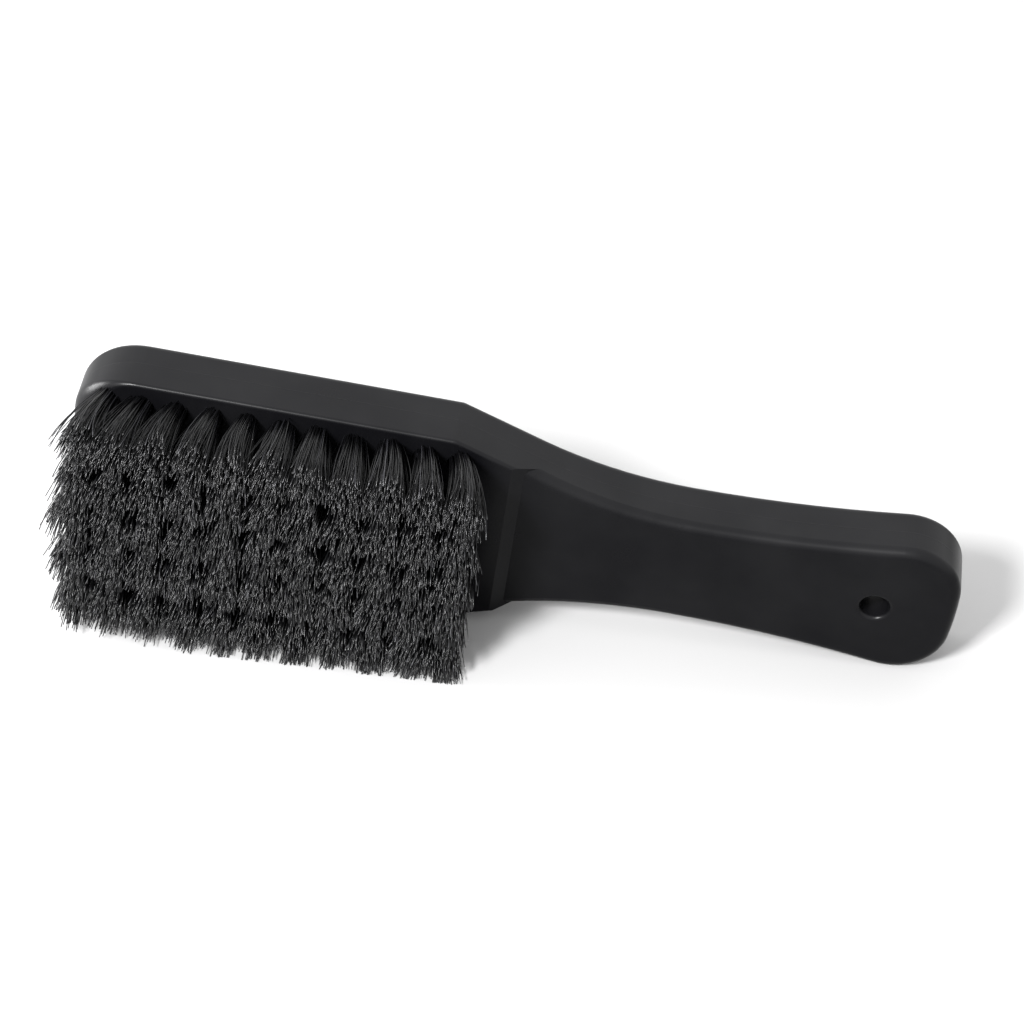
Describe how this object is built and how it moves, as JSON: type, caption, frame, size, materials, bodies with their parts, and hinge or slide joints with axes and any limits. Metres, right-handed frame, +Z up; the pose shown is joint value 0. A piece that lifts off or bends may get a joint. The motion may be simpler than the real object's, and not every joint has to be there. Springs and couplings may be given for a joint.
{
  "type": "wheel brush",
  "caption": "Short-handled wheel cleaning brush: moulded paddle block with waisted handle and hang hole, stiff tufts of black filament set in rows across the head.",
  "frame": {"origin": "middle of the whole brush's box, on the floor it lies on", "axes": "+X from the head end towards the tail, +Y out of the flat back (the tufts point to -Y), +Z up while the brush lies on its side"},
  "size_m": [0.2508, 0.0432, 0.077],
  "materials": {
    "block": "moulded satin black polypropylene",
    "bristle": "drawn black polypropylene filament, cut ends",
    "anchor": "galvanised flat wire"
  },
  "bodies": {
    "root": {"brush_block": "block", "tuft_anchors": "anchor", "tuft_r1_c01": "bristle", "tuft_r1_c02": "bristle", "tuft_r1_c03": "bristle", "tuft_r1_c04": "bristle", "tuft_r1_c05": "bristle", "tuft_r1_c06": "bristle", "tuft_r1_c07": "bristle", "tuft_r1_c08": "bristle", "tuft_r1_c09": "bristle", "tuft_r1_c10": "bristle", "tuft_r1_c11": "bristle", "tuft_r2_c01": "bristle", "tuft_r2_c02": "bristle", "tuft_r2_c03": "bristle", "tuft_r2_c04": "bristle", "tuft_r2_c05": "bristle", "tuft_r2_c06": "bristle", "tuft_r2_c07": "bristle", "tuft_r2_c08": "bristle", "tuft_r2_c09": "bristle", "tuft_r2_c10": "bristle", "tuft_r2_c11": "bristle", "tuft_r3_c01": "bristle", "tuft_r3_c02": "bristle", "tuft_r3_c03": "bristle", "tuft_r3_c04": "bristle", "tuft_r3_c05": "bristle", "tuft_r3_c06": "bristle", "tuft_r3_c07": "bristle", "tuft_r3_c08": "bristle", "tuft_r3_c09": "bristle", "tuft_r3_c10": "bristle", "tuft_r3_c11": "bristle", "tuft_r4_c01": "bristle", "tuft_r4_c02": "bristle", "tuft_r4_c03": "bristle", "tuft_r4_c04": "bristle", "tuft_r4_c05": "bristle", "tuft_r4_c06": "bristle", "tuft_r4_c07": "bristle", "tuft_r4_c08": "bristle", "tuft_r4_c09": "bristle", "tuft_r4_c10": "bristle", "tuft_r4_c11": "bristle", "tuft_r5_c01": "bristle", "tuft_r5_c02": "bristle", "tuft_r5_c03": "bristle", "tuft_r5_c04": "bristle", "tuft_r5_c05": "bristle", "tuft_r5_c06": "bristle", "tuft_r5_c07": "bristle", "tuft_r5_c08": "bristle", "tuft_r5_c09": "bristle", "tuft_r5_c10": "bristle", "tuft_r5_c11": "bristle"}
  },
  "joints": []
}
